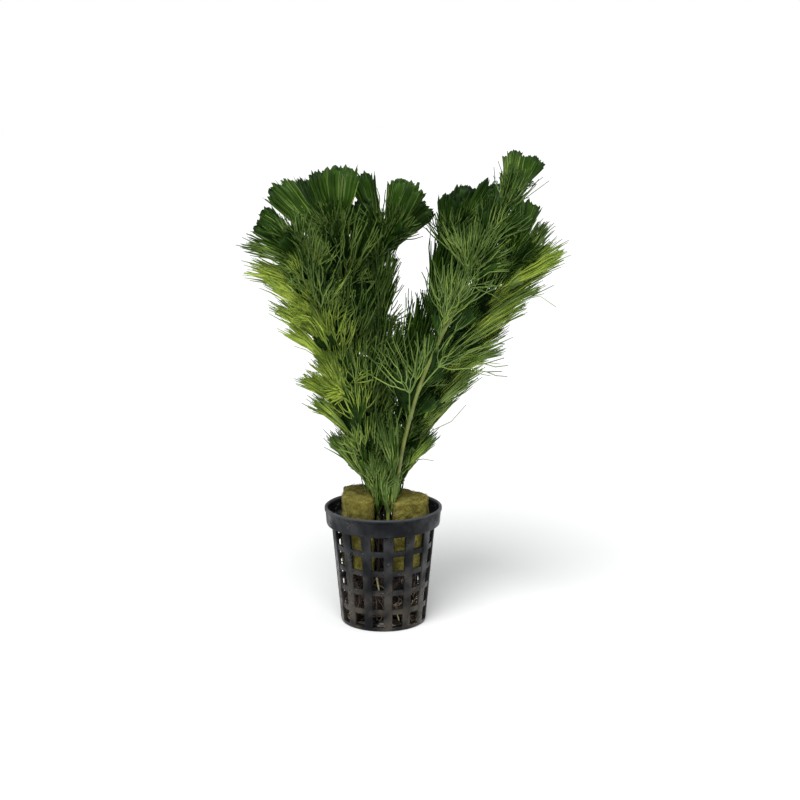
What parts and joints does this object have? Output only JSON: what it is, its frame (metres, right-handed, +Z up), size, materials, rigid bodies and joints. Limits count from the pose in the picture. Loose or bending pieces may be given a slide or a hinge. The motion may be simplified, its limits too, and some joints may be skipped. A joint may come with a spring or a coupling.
{
  "type": "potted aquarium plant",
  "caption": "Bunch of fine-leaved aquarium stems in a small slotted net pot, held upright by blocks of rock wool; it stands on the pot's flat base.",
  "frame": {"origin": "centre of the underside of the pot's base", "axes": "+Z up through the pot's mouth, -Y towards the side that the picture shows, +X to its right"},
  "size_m": [0.1287, 0.0796, 0.1991],
  "materials": {
    "pot_plastic": "moulded charcoal plastic, damp satin",
    "rock_wool": "wet yellow-brown mineral fibre",
    "roots": "wet brown roots and old stem ends",
    "stem": "smooth yellow-green stem",
    "leaves": "wet, finely divided green leaves"
  },
  "bodies": {
    "root": {"net_pot": "pot_plastic", "rock_wool_left": "rock_wool", "rock_wool_right": "rock_wool", "root_tangle": "roots", "stem_1": "stem", "stem_2": "stem", "stem_3": "stem", "stem_4": "stem", "stem_5": "stem", "stem_6": "stem", "leaf_tuft_1_01": "leaves", "leaf_tuft_1_02": "leaves", "leaf_tuft_1_03": "leaves", "leaf_tuft_1_04": "leaves", "leaf_tuft_1_05": "leaves", "leaf_tuft_1_06": "leaves", "leaf_tuft_1_07": "leaves", "leaf_tuft_2_01": "leaves", "leaf_tuft_2_02": "leaves", "leaf_tuft_2_03": "leaves", "leaf_tuft_2_04": "leaves", "leaf_tuft_2_05": "leaves", "leaf_tuft_2_06": "leaves", "leaf_tuft_2_07": "leaves", "leaf_tuft_2_08": "leaves", "leaf_tuft_2_09": "leaves", "leaf_tuft_2_10": "leaves", "leaf_tuft_3_01": "leaves", "leaf_tuft_3_02": "leaves", "leaf_tuft_3_03": "leaves", "leaf_tuft_3_04": "leaves", "leaf_tuft_3_05": "leaves", "leaf_tuft_3_06": "leaves", "leaf_tuft_3_07": "leaves", "leaf_tuft_3_08": "leaves", "leaf_tuft_3_09": "leaves", "leaf_tuft_4_01": "leaves", "leaf_tuft_4_02": "leaves", "leaf_tuft_4_03": "leaves", "leaf_tuft_4_04": "leaves", "leaf_tuft_4_05": "leaves", "leaf_tuft_4_06": "leaves", "leaf_tuft_4_07": "leaves", "leaf_tuft_4_08": "leaves", "leaf_tuft_5_01": "leaves", "leaf_tuft_5_02": "leaves", "leaf_tuft_5_03": "leaves", "leaf_tuft_5_04": "leaves", "leaf_tuft_5_05": "leaves", "leaf_tuft_5_06": "leaves", "leaf_tuft_5_07": "leaves", "leaf_tuft_6_01": "leaves", "leaf_tuft_6_02": "leaves", "leaf_tuft_6_03": "leaves", "leaf_tuft_6_04": "leaves", "leaf_tuft_6_05": "leaves", "leaf_tuft_6_06": "leaves", "leaf_tuft_6_07": "leaves", "leaf_tuft_6_08": "leaves", "leaf_tuft_6_09": "leaves"}
  },
  "joints": []
}
